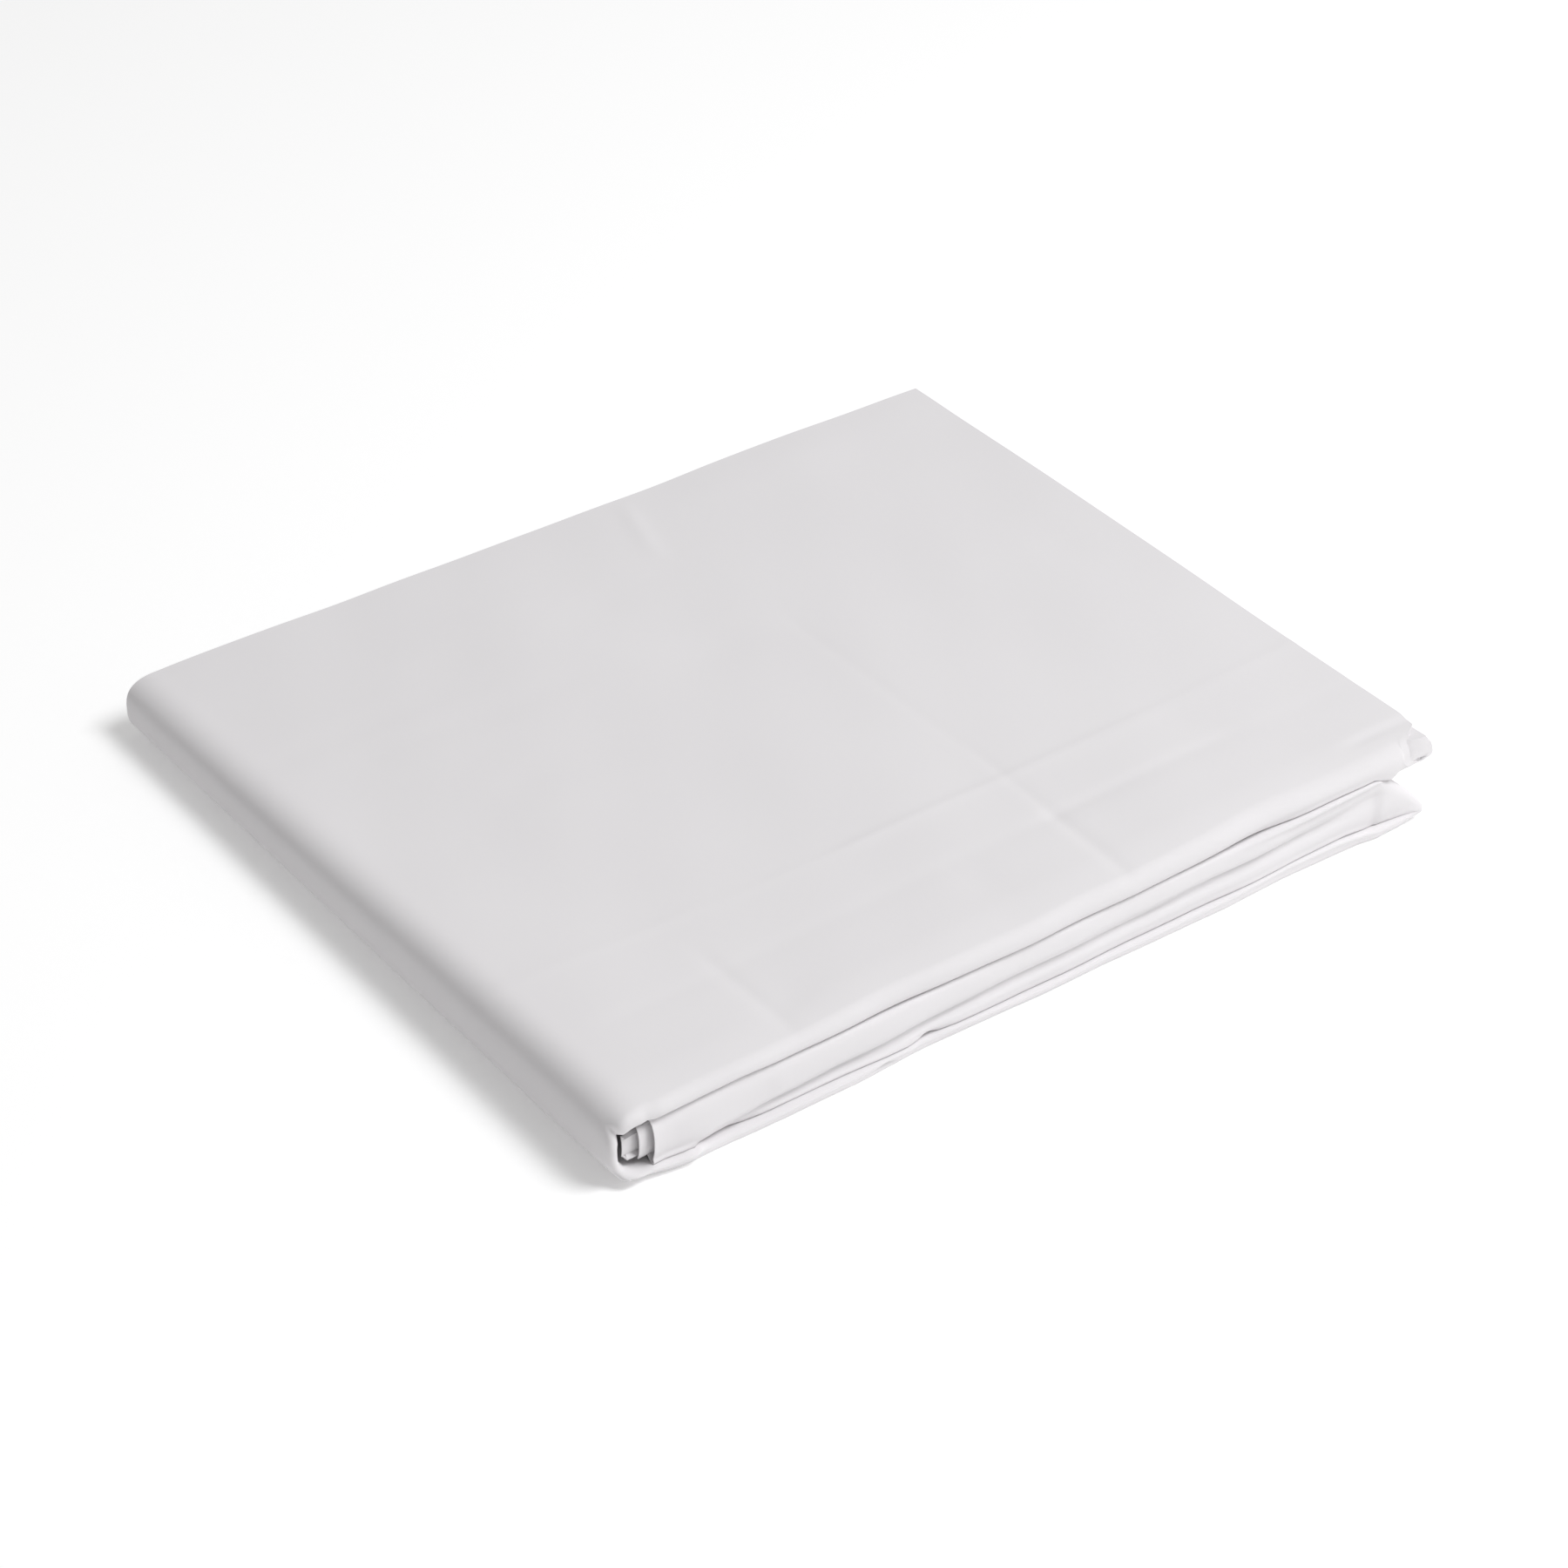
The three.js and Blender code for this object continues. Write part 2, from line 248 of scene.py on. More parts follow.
# Small marks of handling on the front rolls: place, size and push, each along x, y and z.
marks = [
    {"at": (131, 0.4, 4.9), "size": (4.4, 3.4, 1.5), "push": (0, 3.2, -0.6)},
    {"at": (110, -1.2, 2.8), "size": (3.0, 2.6, 1.0), "push": (0, 1.8, 0)},
    {"at": (67, 0, 15.8), "size": (1.1, 4, 4.5), "push": (0, -0.55, 0)},
    {"at": (31, -1, 3.8), "size": (2.8, 4, 2.4), "push": (0, -1.3, 0.5)},
    {"at": (42, 1.5, 4.3), "size": (7.5, 4, 0.9), "push": (0, 2.2, 0)},
    {"at": (342, 1, 26), "size": (3.0, 4, 2.4), "push": (0, -1.4, -3.4)},
    {"at": (348, 1, 26), "size": (3.4, 4, 1.8), "push": (0.5, -1.6, -0.2)},
    {"at": (338, 1, 4.6), "size": (5, 5, 1.3), "push": (0, 0.6, 0)},
    {"at": (5, 1, 29), "size": (4.5, 5, 2.6), "push": (-0.5, -1.1, 0.3)},
]

# Soft hollows and swells left by handling, on the top and down to the layers under it.
swells = [
    {"at": (82, 15), "size": (9, 7), "lift": -0.45},
    {"at": (176, 32), "size": (7, 12), "lift": -0.40},
    {"at": (84, 176), "size": (12, 8), "lift": -0.40},
    {"at": (172, 257), "size": (12, 9), "lift": -0.30},
    {"at": (189, 203), "size": (14, 8), "lift": -0.26},
    {"at": (333, 178), "size": (10, 14), "lift": -0.36},
    {"at": (100, 258), "size": (16, 8), "lift": -0.22},
    {"at": (25, 120), "size": (30, 60), "lift": 0.35},
    {"at": (150, 150), "size": (90, 80), "lift": -0.35},
    {"at": (290, 296), "size": (70, 14), "lift": 0.40},
]

# Long waves in the whole stack: wavelength along x and along y, phase and height.
waves = [
    {"x": 210, "y": 390, "phase": 0.6, "lift": 0.30},
    {"x": 133, "y": -240, "phase": 2.1, "lift": 0.22},
    {"x": 76, "y": 310, "phase": 4.0, "lift": 0.13},
    {"x": 48, "y": -95, "phase": 1.2, "lift": 0.07},
]

# How the front edge of each roll wanders along x.
frontWaves = [
    {"length": 170, "reach": 0.45, "turn": 1.3},
    {"length": 83, "reach": 0.28, "turn": 2.9},
    {"length": 41, "reach": 0.16, "turn": 0.4},
]
turnPerRoll = 2.4            # so the rolls wander out of step

# Each panel's outermost layer in the stack, counted from the top, and the way its layers go on.
panels = {
    "top": {"first": 0, "step": 1},
    "middle": {"first": 4, "step": 1},
    "bottom": {"first": 11, "step": -1},
}

# How finely the strip is divided along its length: how many stations each stretch has, and the
# places that they crowd around, along x, or in the wrap as a share of the turn.
stretches = {
    "top": {"count": 90, "near": (76, 211, 221, 352)},
    "wrap": {"count": 22, "near": (0.32,), "closeness": 1.5, "width": 0.06},
    "bottom": {"count": 34, "near": (30, 42, 110, 131)},
    "bend": {"count": 16},
    "middle": {"count": 48, "near": (38, 67, 130, 330)},
}

# How finely each run of cloth and each nose is divided, for the outer cloth and the two inside.
# The outer cloth's first run, which is the top, is finer where creases run along x.
divisions = {
    "outer": {"run1": 80, "run": 12, "outerNose": 24, "innerNose": 6, "backNose": 5},
    "inner": {"run1": 8, "run": 6, "outerNose": 12, "innerNose": 4, "backNose": 3},
}
finePlaces = {"outer": (12, 43, 73), "inner": ()}

# How closely points crowd around their places and towards both ends, with widths as shares of
# the stretch or run. Samples is how many places the spacing is worked out at.
crowding = {
    "samples": 4001,
    "closeness": 2.5,
    "width": 0.02,
    "creaseCloseness": 4.0,
    "creaseWidth": 0.018,
    "endCloseness": 1.2,
    "endWidth": 0.03,
    "towardsFront": 1.5,     # above 1, the other runs are finer at the front
}


def mix(low, high, share):
    return low + (high - low) * share


def eased(value, start, end):
    share = np.clip((value - start) / (end - start), 0, 1)
    return share * share * (3 - 2 * share)


# A column of a table, joined smoothly from row to row.
def fromTable(table, key, value, column):
    keys = np.array([row[key] for row in table], float)
    values = np.array([row[column] for row in table], float)
    value = np.clip(value, keys[0], keys[-1])
    after = np.clip(np.searchsorted(keys, value), 1, len(keys) - 1)
    share = eased(value, keys[after - 1], keys[after])
    return mix(values[after - 1], values[after], share)


def depthAt(x):
    return mix(bundle["depthLeft"], bundle["depthRight"], x / bundle["length"])


# Ups and downs of the top from the waves and the swells.
def unevenness(x, y):
    lift = np.zeros(np.broadcast(x, y).shape)
    for wave in waves:
        turns = x / wave["x"] + y / wave["y"]
        lift = lift + wave["lift"] * np.sin(2 * math.pi * turns + wave["phase"])
    for swell in swells:
        awayX = (x - swell["at"][0]) / swell["size"][0]
        awayY = (y - swell["at"][1]) / swell["size"][1]
        lift = lift + swell["lift"] * np.exp(-(awayX ** 2 + awayY ** 2))
    return lift


# The creases, which only the top layer has.
def creaseLift(x, y):
    lift = np.zeros(np.broadcast(x, y).shape)
    for crease in creases:
        start, end = np.array(crease["from"], float), np.array(crease["to"], float)
        span = np.linalg.norm(end - start)
        along = (end - start) / span
        sideways = np.array((start[1] - end[1], end[0] - start[0])) / span
        place = ((x - start[0]) * along[0] + (y - start[1]) * along[1]) / span
        away = (x - start[0]) * sideways[0] + (y - start[1]) * sideways[1]
        fade = min(creaseEnds["mostShare"], creaseEnds["length"] / span)
        ends = eased(place, -fade, fade) * (1 - eased(place, 1 - fade, 1 + fade))
        lift = lift + crease["lift"] * ends * np.exp(-((away / crease["width"]) ** 2))
    return lift


def stackHeight(x, y):
    along = x / bundle["length"]
    near = mix(bundle["nearLeftHeight"], bundle["nearRightHeight"], along)
    far = mix(bundle["farLeftHeight"], bundle["farRightHeight"], along)
    return mix(near, far, y / depthAt(x))


# A layer's even place in the stack. Layers are counted from 1 at the strip's outer side.
def evenHeight(panel, layer, x, y):
    stack = stackHeight(x, y)
    order = panels[panel]["first"] + panels[panel]["step"] * (layer - 1)
    pitch = (stack - bundle["layer"]) / (bundle["layers"] - 1)
    height = stack - bundle["layer"] / 2 - order * pitch
    share = 1 - order / (bundle["layers"] - 1)
    return height + share * unevenness(x, y)


# A layer's height at the front edge, where the rolls crowd it. Layers that stay behind have none.
def frontHeight(panel, layer, x):
    half = bundle["layer"] / 2
    room = half + bundle["slack"] * (1 - eased(x, *bundle["slackCloses"]))
    underTop = fromTable(valleys, "x", x, "underTop")
    overBottom = fromTable(valleys, "x", x, "overBottom")
    heights = {
        ("top", 1): stackHeight(x, 0) - half - bundle["frontFall"] + unevenness(x, 0),
        ("top", 2): underTop + room,
        ("middle", 1): underTop - room,
        ("middle", 2): overBottom + half,
        ("bottom", 1): half,
        ("bottom", 2): overBottom - half,
    }
    return heights.get((panel, layer))


def layerHeight(panel, layer, x, y):
    even = evenHeight(panel, layer, x, y)
    front = frontHeight(panel, layer, x)
    if front is None:
        return even
    if panel == "top" and layer == 1:
        share = eased(y, bundle["frontFallStart"], bundle["frontFallDepth"])
        return mix(front, even, share ** bundle["frontFallCurve"]) + creaseLift(x, y)
    start, end = bundle["spreadStart"], bundle["spreadEnd"]
    if panel == "top":
        curled = eased(x, *mouth["curlX"])
        start = mix(start, mouth["curlStart"], curled)
        end = mix(end, mouth["curlEnd"], curled)
    return mix(front, even, eased(y, start, end))


# Heights at places between whole layers, which the round noses of the rolls use.
def heightBetween(panel, layer, x, y):
    numbers = range(1, bundle["panelLayers"] + 1)
    heights = np.array([layerHeight(panel, number, x, y) for number in numbers])
    outer = np.minimum(np.floor(layer).astype(int), bundle["panelLayers"] - 1)
    columns = np.arange(len(y))
    return mix(heights[outer - 1, columns], heights[outer, columns], layer - outer)


# A sine or cosine, drawn out from a circle at 2 towards a square above it.
def rounded(value, squareness):
    return np.sign(value) * np.abs(value) ** (2 / squareness)


def onPanel(panel, x):
    def place(layer, y):
        return np.stack([np.full(len(y), x), y, heightBetween(panel, layer, x, y)], axis=1)
    return place


# A turn runs from share 0 on the panel above to share 1 on the panel below it.
def onTurn(above, share, start, way, upperSquareness, lowerSquareness, nose, reach):
    def place(layer, y):
        high = heightBetween(above, layer, start, y)
        low = heightBetween("bottom", layer, start, y)
        angle = (0.5 - share) * math.pi
        middle = nose(layer, y, low, high)
        squareness = upperSquareness if share < 0.5 else lowerSquareness
        rise = rounded(math.sin(angle), squareness)
        z = mix(middle, high, rise) if rise > 0 else mix(middle, low, -rise)
        x = start + way * reach(layer, y) * rounded(math.cos(angle), squareness)
        return np.stack([x, y, z], axis=1)
    return place


def turnPitch(turn, y):
    spread = eased(y, bundle["spreadStart"], bundle["spreadEnd"])
    return mix(turn["frontPitch"], turn["pitch"], spread)


def wrapReach(layer, y):
    return wrap["start"] - bundle["layer"] / 2 - turnPitch(wrap, y) * (layer - 1)


def bendReach(layer, y):
    return bend["reach"] - turnPitch(bend, y) * (layer - 1)


def wrapNose(layer, y, low, high):
    return (low + high) / 2


def bendNose(layer, y, low, high):
    inwards = (layer - 1) / (bundle["panelLayers"] - 1)
    even = mix(low, high, mix(bend["outerNose"], bend["innerNose"], inwards))
    front = mix(bend["frontTips"][0], bend["frontTips"][1], layer - 1)
    spread = eased(y, bundle["spreadStart"], bundle["spreadEnd"])
    return mix(front, even, np.maximum(spread, eased(layer, *bend["frontTipLayers"])))


# Places from 0 to 1, closer together at both ends and near the given middle places.
def spacing(count, near, closeness=crowding["closeness"], width=crowding["width"]):
    fine = np.linspace(0, 1, crowding["samples"])
    density = np.ones(len(fine))
    for fromEnd in (fine, 1 - fine):
        density += crowding["endCloseness"] * np.exp(-fromEnd / crowding["endWidth"])
    for place in near:
        density += closeness * np.exp(-(((fine - place) / width) ** 2))
    total = np.concatenate([[0], np.cumsum((density[1:] + density[:-1]) / 2)])
    return np.interp(np.linspace(0, total[-1], count), total, fine)


# A station is its x, its place along the strip, and a function that places points in its section.
def panelStations(panel, start, end, first):
    stretch = stretches[panel]
    rows = []
    for share in spacing(stretch["count"], [(x - start) / (end - start) for x in stretch["near"]]):
        x = mix(start, end, share)
        rows.append((x, first + share, onPanel(panel, x)))
    return rows


def wrapStations():
    stretch = stretches["wrap"]
    square = wrap["squareness"]
    shares = spacing(stretch["count"] + 1, stretch["near"], stretch["closeness"], stretch["width"])
    rows = []
    for share in shares[1:-1]:
        place = onTurn("top", share, wrap["start"], -1, square, square, wrapNose, wrapReach)
        rows.append((wrap["start"], 1 + share, place))
    return rows


def bendStations():
    count = stretches["bend"]["count"]
    upper, lower = bend["upperSquareness"], bend["lowerSquareness"]
    rows = []
    for share in np.arange(1, count) / count:
        place = onTurn("middle", 1 - share, bendStart, 1, upper, lower, bendNose, bendReach)
        rows.append((bendStart, 3 + share, place))
    return rows


stations = (
    panelStations("top", bundle["length"] + bundle["topOverhang"], wrap["start"], 0)
    + wrapStations()
    + panelStations("bottom", wrap["start"], bendStart, 2)
    + bendStations()
    + panelStations("middle", bendStart, steppedEnd["x"], 4)
)
print("stations along the strip", len(stations))


def frontDrift(roll, x):
    return sum(
        wave["reach"] * math.sin(2 * math.pi * x / wave["length"] + wave["turn"] + turnPerRoll * roll)
        for wave in frontWaves
    )


# The back-and-forth section of one cloth, outer or inner: its points, their layer numbers and
# depths, and how far the cloths stand apart there.
def section(station, kind):
    x, at, place = station
    steps = divisions[kind]
    back = depthAt(x)
    roll = {name: float(fromTable(rolls, "at", at, name)) for name in rolls[0]}
    stepped = float(eased(at, steppedEnd["from"], steppedEnd["to"]))
    fronts, noses, pitches = [], [], []
    for number, name in ((1, "outer"), (3, "inner")):
        front = roll[name]
        if name == "outer" and at % 2 <= 1:     # on a panel, and not in a turn
            front += frontDrift(number + at // 1, x)
        ends = place(np.array([number, number + 1.0]), np.array([front, front]))
        half = np.linalg.norm(ends[1] - ends[0]) / 2
        depth = min(roll[name + "Nose"], cloth["deepestNose"] * half)
        noses.append(depth)
        fronts.append(front + depth + bundle["layer"] / 2)
        widest = mix(cloth["frontPitch"], steppedEnd["apart"], stepped if name == "outer" else 0)
        pitches.append(max(cloth["pitch"], min(widest, (half - cloth["noseRoom"]) / 2)))
    rollBack = backEdge["roll"] + backEdge["nose"]
    backs = [backEdge["outer"], rollBack, rollBack, backEdge["inner"]]
    layers, depths, apart = [], [], []

    def run(layer, count, outward):
        front = fronts[0] if layer <= 2 else fronts[1]
        near = [y / back for y in finePlaces[kind]] if layer == 1 else []
        shares = spacing(count, near, crowding["creaseCloseness"], crowding["creaseWidth"])
        if not near:
            shares = shares ** crowding["towardsFront"]
        shares = shares if outward else shares[::-1]
        y = mix(front, back - backs[layer - 1], shares)
        settle = eased(y, front, front + cloth["frontPitchDepth"])
        layers.append(np.full(count, float(layer)))
        depths.append(y)
        apart.append(mix(pitches[0] if layer <= 2 else pitches[1], cloth["pitch"], settle))

    def nose(layer, y, depth, count, pitch, squareness):
        angle = np.pi * np.arange(1, count) / count
        layers.append(layer + (1 - rounded(np.cos(angle), squareness)) / 2)
        depths.append(y + depth * rounded(np.sin(angle), squareness))
        apart.append(np.full(count - 1, pitch))

    run(1, steps["run1"], False)
    nose(1, fronts[0], -noses[0], steps["outerNose"], pitches[0], roll["square"])
    run(2, steps["run"], True)
    nose(2, back - backs[1], backEdge["nose"], steps["backNose"], cloth["pitch"], 2)
    run(3, steps["run"], False)
    nose(3, fronts[1], -noses[1], steps["innerNose"], pitches[1], 2)
    run(4, steps["run"], True)
    layers, depths = np.concatenate(layers), np.concatenate(depths)
    return place(layers, depths), layers, depths, np.concatenate(apart)


def unit(vectors):
    return vectors / np.maximum(np.linalg.norm(vectors, axis=-1, keepdims=True), 1e-9)


# Opens the mouth in the outer roll at the top panel's free end, and presses out its lip.
def openMouth(grid, at, layers, depths, number):
    openEnd = 1 - eased(at, 0, mouth["reach"])
    upper = 1 - eased(layers, *mouth["upperLayers"])
    front = 1 - eased(depths, mouth["fadeStart"], mouth["depth"])
    shift = mix(mouth["standsOut"][number], -mouth["drawnBack"][number], upper)
    grid[..., 0] += shift * openEnd * front * (layers <= 2)
    lipFront = 1 - eased(depths, mouth["lipStart"], mouth["lipEnd"])
    lip = mouth["lip"] * openEnd * lipFront * (layers <= 2)
    grid[..., 1] -= lip * eased(layers, *mouth["lipLayers"]) * (grid[..., 1] - mouth["lipPlane"])


# Steps out the cloths of the outer roll at the middle panel's free end.
def stepOut(grid, at, layers, depths, number):
    front = 1 - eased(depths, steppedEnd["depth"] / 2, steppedEnd["depth"])
    stepped = eased(at, steppedEnd["from"], steppedEnd["to"]) * front
    grid[..., 0] -= steppedEnd["further"][number] * stepped * (layers <= 2)


# One cloth through all the stations, moved off the layer's middle to its own place.
def clothPass(kind, number):
    sections = [section(station, kind) for station in stations]
    grid, layers, depths, apart = (np.array(part) for part in zip(*sections))
    at = np.array([station[1] for station in stations])[:, None]
    outward = unit(np.cross(np.gradient(grid, axis=0), np.gradient(grid, axis=1)))
    grid = grid + outward * (cloth["pitch"] - number * apart)[..., None]
    openMouth(grid, at, layers, depths, number)
    stepOut(grid, at, layers, depths, number)
    return grid


# The cloth turns back on itself along a free edge, from one grid's end to the next one's start.
def turnBack(ending, starting):
    last, first = ending[:, -1], starting[:, 0]
    onward = unit(ending[:, -1] - ending[:, -2])
    centre, radius = (last + first) / 2, (last - first) / 2
    reach = np.linalg.norm(radius, axis=1, keepdims=True)
    turns = []
    for step in range(1, cloth["turnSteps"]):
        angle = math.pi * step / cloth["turnSteps"]
        turns.append(centre + radius * math.cos(angle) + onward * reach * math.sin(angle))
    return np.stack(turns, axis=1)


# The lower front corner of the wrap is drawn up off the surface.
def liftCorner(points):
    x, y, z = points[..., 0], points[..., 1], points[..., 2]
    nearX = np.clip(1 - x / wrap["cornerLiftX"], 0, 1) ** 2
    nearY = np.clip(1 - y / wrap["cornerLiftY"], 0, 1) ** 2
    low = np.clip(1 - z / bundle["nearLeftHeight"], 0, 1)
    points[..., 2] = z + wrap["cornerLift"] * nearX * nearY * low
    return points


# Presses the furrow into the front of the middle panel.
def pressFurrow(points):
    x, y, z = points[..., 0], points[..., 1], points[..., 2]
    height, depth, width = (fromTable(furrow, "x", x, name) for name in ("z", "depth", "width"))
    near = 1 - eased(y, *furrowFades)
    points[..., 1] = y + depth * near * np.exp(-(((z - height) / width) ** 2))
    return points


# Swells the cloth forward in the two valleys.
def fillValleys(points):
    x, y, z = points[..., 0], points[..., 1], points[..., 2]
    near = 1 - eased(y, *fillingFades)
    for name, width in fillingWidths.items():
        height = fromTable(valleys, "x", x, name)
        drawn = fromTable(fillings, "x", x, name)
        y = y - drawn * near * np.exp(-(((z - height) / width) ** 2))
    points[..., 1] = y
    return points


# Pushes each small mark into the front, fading out on all sides.
def pressMarks(points):
    for mark in marks:
        away = (points - np.array(mark["at"])) / np.array(mark["size"])
        share = np.exp(-(away ** 2).sum(axis=-1, keepdims=True))
        points = points + share * np.array(mark["push"])
    return points


def clothGrid():
    outer = clothPass("outer", 0)
    second = clothPass("inner", 1)[:, ::-1]
    third = clothPass("inner", 2)
    parts = [outer, turnBack(outer, second), second, turnBack(second, third), third]
    return pressMarks(pressFurrow(fillValleys(liftCorner(np.concatenate(parts, axis=1)))))


# The sheet's middle surface, with the lengths along the cloth as its UVs for the weave.
def sheetMesh(name, grid):
    rows, columns = grid.shape[:2]
    points = grid.reshape(-1, 3) * mm + np.array(origin)
    index = np.arange(rows * columns).reshape(rows, columns)
    corners = (index[:-1, :-1], index[:-1, 1:], index[1:, 1:], index[1:, :-1])
    faces = np.stack(corners, axis=-1).reshape(-1, 4)
    mesh = bpy.data.meshes.new(name)
    mesh.from_pydata(points.tolist(), [], faces.tolist())
    sectionSteps = np.linalg.norm(np.diff(grid, axis=1), axis=2)
    stripSteps = np.linalg.norm(np.diff(grid[:, cloth["weaveColumn"]], axis=0), axis=1)
    alongSection = np.concatenate([np.zeros((rows, 1)), np.cumsum(sectionSteps, axis=1)], axis=1)
    alongStrip = np.concatenate([[0], np.cumsum(stripSteps)])
    uv = np.stack([alongSection, np.repeat(alongStrip[:, None], columns, axis=1)], axis=-1)
    uv = uv.reshape(-1, 2) * mm
    layer = mesh.uv_layers.new(name="weave")
    layer.data.foreach_set("uv", uv[faces.reshape(-1)].reshape(-1))
    mesh.update()
    return mesh


grid = clothGrid()
cover = bpy.data.objects.new("cotton_cover", sheetMesh("cotton_cover", grid))
bpy.context.scene.collection.objects.link(cover)
bpy.context.view_layer.objects.active = cover
cover.select_set(True)
thickness = cover.modifiers.new("thickness", "SOLIDIFY")
thickness.thickness = cloth["thick"] * mm
thickness.offset = 0
thickness.use_rim = True
bpy.ops.object.modifier_apply(modifier=thickness.name)
bpy.ops.object.shade_smooth_by_angle(angle=math.radians(cloth["smoothAngle"]))
print("cloth made, faces", len(cover.data.polygons))


# Plain white percale: a fine weave whose threads wander a little, and a soft nap.
cotton = {
    "colour": (0.825, 0.808, 0.82),
    "shade": (0.795, 0.776, 0.79),
    "patchScale": 14,       # soft patches that go from the one to the other
    "patchDetail": 3,
    "roughness": 0.9,
    "shine": 0.2,
    "sheen": 0.12,
    "sheenRoughness": 0.5,
    "thread": 0.32,         # millimetres from thread to thread
    "threadWander": 0.6,
    "threadDetail": 1,
    "weaveDepth": 0.02,     # millimetres
    "weaveStrength": 0.5,
    "napScale": 220,
    "napDetail": 3,
    "napDepth": 0.06,
    "napStrength": 0.6,
}


def cottonMaterial():
    material = bpy.data.materials.new("white cotton")
    material.use_nodes = True
    nodes, links = material.node_tree.nodes, material.node_tree.links
    shader = nodes["Principled BSDF"]
    shader.inputs["Roughness"].default_value = cotton["roughness"]
    shader.inputs["Sheen Weight"].default_value = cotton["sheen"]
    shader.inputs["Sheen Roughness"].default_value = cotton["sheenRoughness"]
    shader.inputs["Specular IOR Level"].default_value = cotton["shine"]
    place = nodes.new("ShaderNodeTexCoord")
    patches = nodes.new("ShaderNodeTexNoise")
    patches.inputs["Scale"].default_value = cotton["patchScale"]
    patches.inputs["Detail"].default_value = cotton["patchDetail"]
    links.new(place.outputs["Object"], patches.inputs["Vector"])
    colour = nodes.new("ShaderNodeMix")
    colour.data_type = "RGBA"
    colour.inputs["A"].default_value = (*cotton["shade"], 1)
    colour.inputs["B"].default_value = (*cotton["colour"], 1)
    links.new(patches.outputs["Fac"], colour.inputs["Factor"])
    links.new(colour.outputs["Result"], shader.inputs["Base Color"])
    threads = []
    wavesPerScale = 10 / math.pi     # a wave texture's bands per metre at a scale of 1
    for direction in ("X", "Y"):
        wave = nodes.new("ShaderNodeTexWave")
        wave.wave_type = "BANDS"
        wave.bands_direction = direction
        wave.inputs["Scale"].default_value = 1 / (wavesPerScale * cotton["thread"] * mm)
        wave.inputs["Distortion"].default_value = cotton["threadWander"]
        wave.inputs["Detail"].default_value = cotton["threadDetail"]
        links.new(place.outputs["UV"], wave.inputs["Vector"])
        threads.append(wave)
    weave = nodes.new("ShaderNodeMath")
    weave.operation = "MULTIPLY"
    links.new(threads[0].outputs["Fac"], weave.inputs[0])
    links.new(threads[1].outputs["Fac"], weave.inputs[1])
    weaveBump = nodes.new("ShaderNodeBump")
    weaveBump.inputs["Strength"].default_value = cotton["weaveStrength"]
    weaveBump.inputs["Distance"].default_value = cotton["weaveDepth"] * mm
    links.new(weave.outputs[0], weaveBump.inputs["Height"])
    nap = nodes.new("ShaderNodeTexNoise")
    nap.inputs["Scale"].default_value = cotton["napScale"]
    nap.inputs["Detail"].default_value = cotton["napDetail"]
    links.new(place.outputs["Object"], nap.inputs["Vector"])
    napBump = nodes.new("ShaderNodeBump")
    napBump.inputs["Strength"].default_value = cotton["napStrength"]
    napBump.inputs["Distance"].default_value = cotton["napDepth"] * mm
    links.new(nap.outputs["Fac"], napBump.inputs["Height"])
    links.new(weaveBump.outputs["Normal"], napBump.inputs["Normal"])
    links.new(napBump.outputs["Normal"], shader.inputs["Normal"])
    return material


cover.data.materials.clear()
cover.data.materials.append(cottonMaterial())
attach(cover, "root")
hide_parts(coverName)

# The studio, in metres: a pale floor, a soft key light from the front right, and a plain sky.
studio = {
    "floorSize": 30,
    "floorColour": (0.97, 0.97, 0.97),
    "floorRoughness": 0.9,
    "floorShine": 0.1,
    "floorGlow": 0.17,       # it gives off a little light, as a white sweep lit from behind does
    "skyColour": (1.0, 0.995, 0.985),
    "skyLeft": 0.15,         # the sky's strength grows from the left to the right
    "skyRight": 0.66,
    "keyPlace": (0.95, -1.2, 2.45),
    "keyTarget": (0.0, 0.0, 0.02),
    "keySize": 1.2,
    "keyWatts": 53,
    "keyColour": (0.985, 0.99, 1.0),
}


def aim(thing, target):
    direction = Vector(target) - thing.location
    thing.rotation_euler = direction.to_track_quat("-Z", "Y").to_euler()


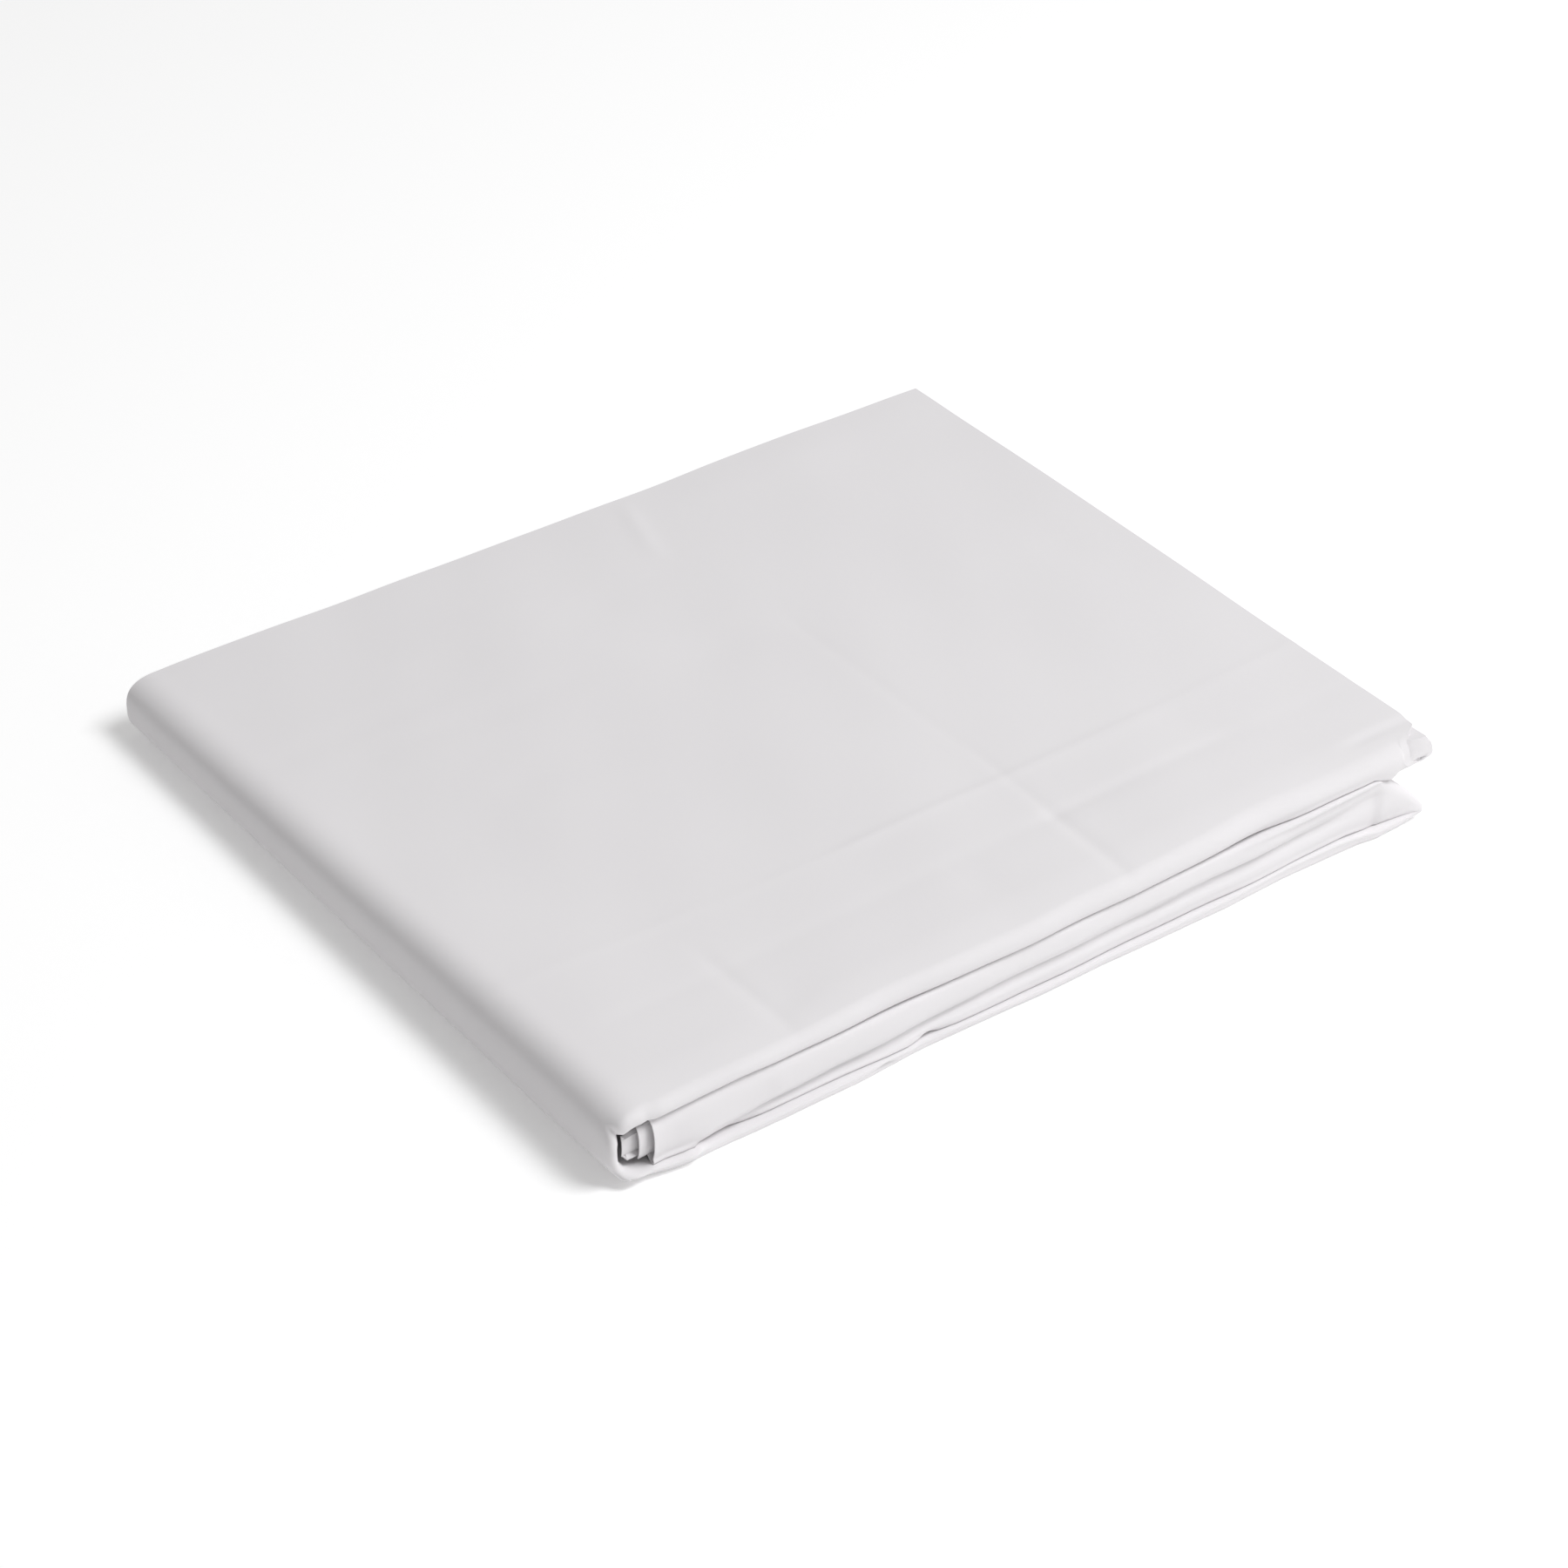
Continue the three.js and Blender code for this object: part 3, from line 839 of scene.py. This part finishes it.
bpy.ops.object.select_all(action="DESELECT")
bpy.ops.mesh.primitive_plane_add(size=studio["floorSize"], location=(0, 0, 0))
floor = bpy.context.object
floor.name = "studio_floor"
floorPaint = bpy.data.materials.new("pale floor")
floorPaint.use_nodes = True
floorShader = floorPaint.node_tree.nodes["Principled BSDF"]
floorShader.inputs["Base Color"].default_value = (*studio["floorColour"], 1)
floorShader.inputs["Roughness"].default_value = studio["floorRoughness"]
floorShader.inputs["Emission Color"].default_value = (1, 1, 1, 1)
floorShader.inputs["Emission Strength"].default_value = studio["floorGlow"]
floorShader.inputs["Specular IOR Level"].default_value = studio["floorShine"]
floor.data.materials.append(floorPaint)

world = bpy.data.worlds.new("plain sky")
world.use_nodes = True
skyNodes, skyLinks = world.node_tree.nodes, world.node_tree.links
skyNodes["Background"].inputs["Color"].default_value = (*studio["skyColour"], 1)
skyPlace = skyNodes.new("ShaderNodeTexCoord")
skyAxes = skyNodes.new("ShaderNodeSeparateXYZ")
skyRange = skyNodes.new("ShaderNodeMapRange")
skyRange.inputs["From Min"].default_value = -1
skyRange.inputs["To Min"].default_value = studio["skyLeft"]
skyRange.inputs["To Max"].default_value = studio["skyRight"]
skyLinks.new(skyPlace.outputs["Generated"], skyAxes.inputs["Vector"])
skyLinks.new(skyAxes.outputs["X"], skyRange.inputs["Value"])
skyLinks.new(skyRange.outputs["Result"], skyNodes["Background"].inputs["Strength"])
bpy.context.scene.world = world

keyData = bpy.data.lights.new("key light", "AREA")
keyData.energy = studio["keyWatts"]
keyData.size = studio["keySize"]
keyData.color = studio["keyColour"]
key = bpy.data.objects.new("key light", keyData)
key.location = studio["keyPlace"]
aim(key, studio["keyTarget"])
bpy.context.scene.collection.objects.link(key)

# The camera stands where the photograph's camera stood: its place in millimetres from the near
# left corner, its angles in degrees.
view = {
    "place": (-574.2, -878.4, 922.3),
    "turn": 36.16,
    "down": 35.80,
    "roll": -0.1,
    "lens": 97.18,
    "sensor": 36,
}
cameraData = bpy.data.cameras.new("camera")
cameraData.lens = view["lens"]
cameraData.sensor_width = view["sensor"]
cameraData.sensor_fit = "HORIZONTAL"
camera = bpy.data.objects.new("camera", cameraData)
camera.location = Vector(view["place"]) * mm + origin
cameraAngles = (90 - view["down"], view["roll"], -view["turn"])
camera.rotation_euler = [math.radians(angle) for angle in cameraAngles]
bpy.context.scene.collection.objects.link(camera)
bpy.context.scene.camera = camera
bpy.context.scene.view_settings.view_transform = "Standard"
print("floor, light and camera placed")
